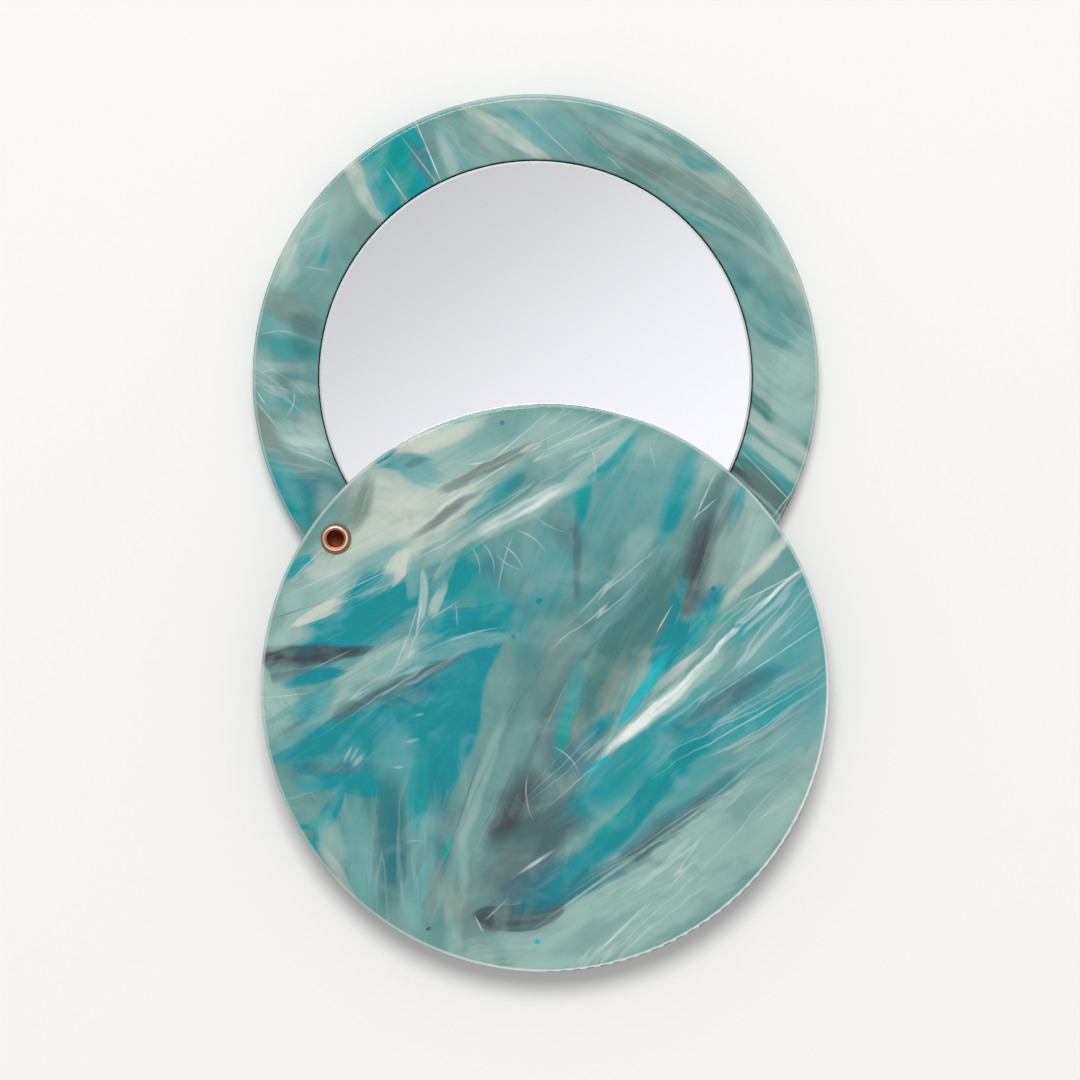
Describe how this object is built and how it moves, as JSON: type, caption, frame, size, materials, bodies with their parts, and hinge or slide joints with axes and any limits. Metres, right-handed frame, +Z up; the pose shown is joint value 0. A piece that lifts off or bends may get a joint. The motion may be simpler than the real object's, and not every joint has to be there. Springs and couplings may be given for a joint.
{
  "type": "swivel cover pocket mirror",
  "caption": "Round pocket mirror inset in a disc of marbled acetate, with an equal cover disc that swivels on a tubular rivet near the edge.",
  "frame": {"origin": "centre of the base disc's underside, the face that the mirror rests on", "axes": "+Z up through the thickness, towards the mirror's face and the cover; +Y away from the opened cover, along the longest extent; +X to the right"},
  "size_m": [0.0773, 0.1176, 0.008],
  "materials": {
    "acetate_base": "tumbled and polished cellulose acetate, marbled teal, grey-green and cream",
    "acetate_cover": "tumbled and polished cellulose acetate, marbled teal, charcoal and cream",
    "mirror_glass": "clear polished float glass, ground arris",
    "silvering": "silvering under a guard lacquer",
    "adhesive_film": "double-sided film",
    "copper": "polished copper, rolled lip, bore darkened by tarnish",
    "nylon": "natural nylon"
  },
  "bodies": {
    "base": {"base_disc": "acetate_base", "mirror_adhesive": "adhesive_film", "mirror_backing": "silvering", "mirror_glass": "mirror_glass", "spacer_washer": "nylon", "rivet": "copper", "rivet_washer": "copper"},
    "cover": {"cover_disc": "acetate_cover"}
  },
  "joints": [
    {"name": "cover_swing", "type": "hinge", "parent": "base", "child": "cover", "pos_m": [-0.02673, -0.02165, 0.0058], "axis": [0, 0, 1], "continuous": true}
  ]
}
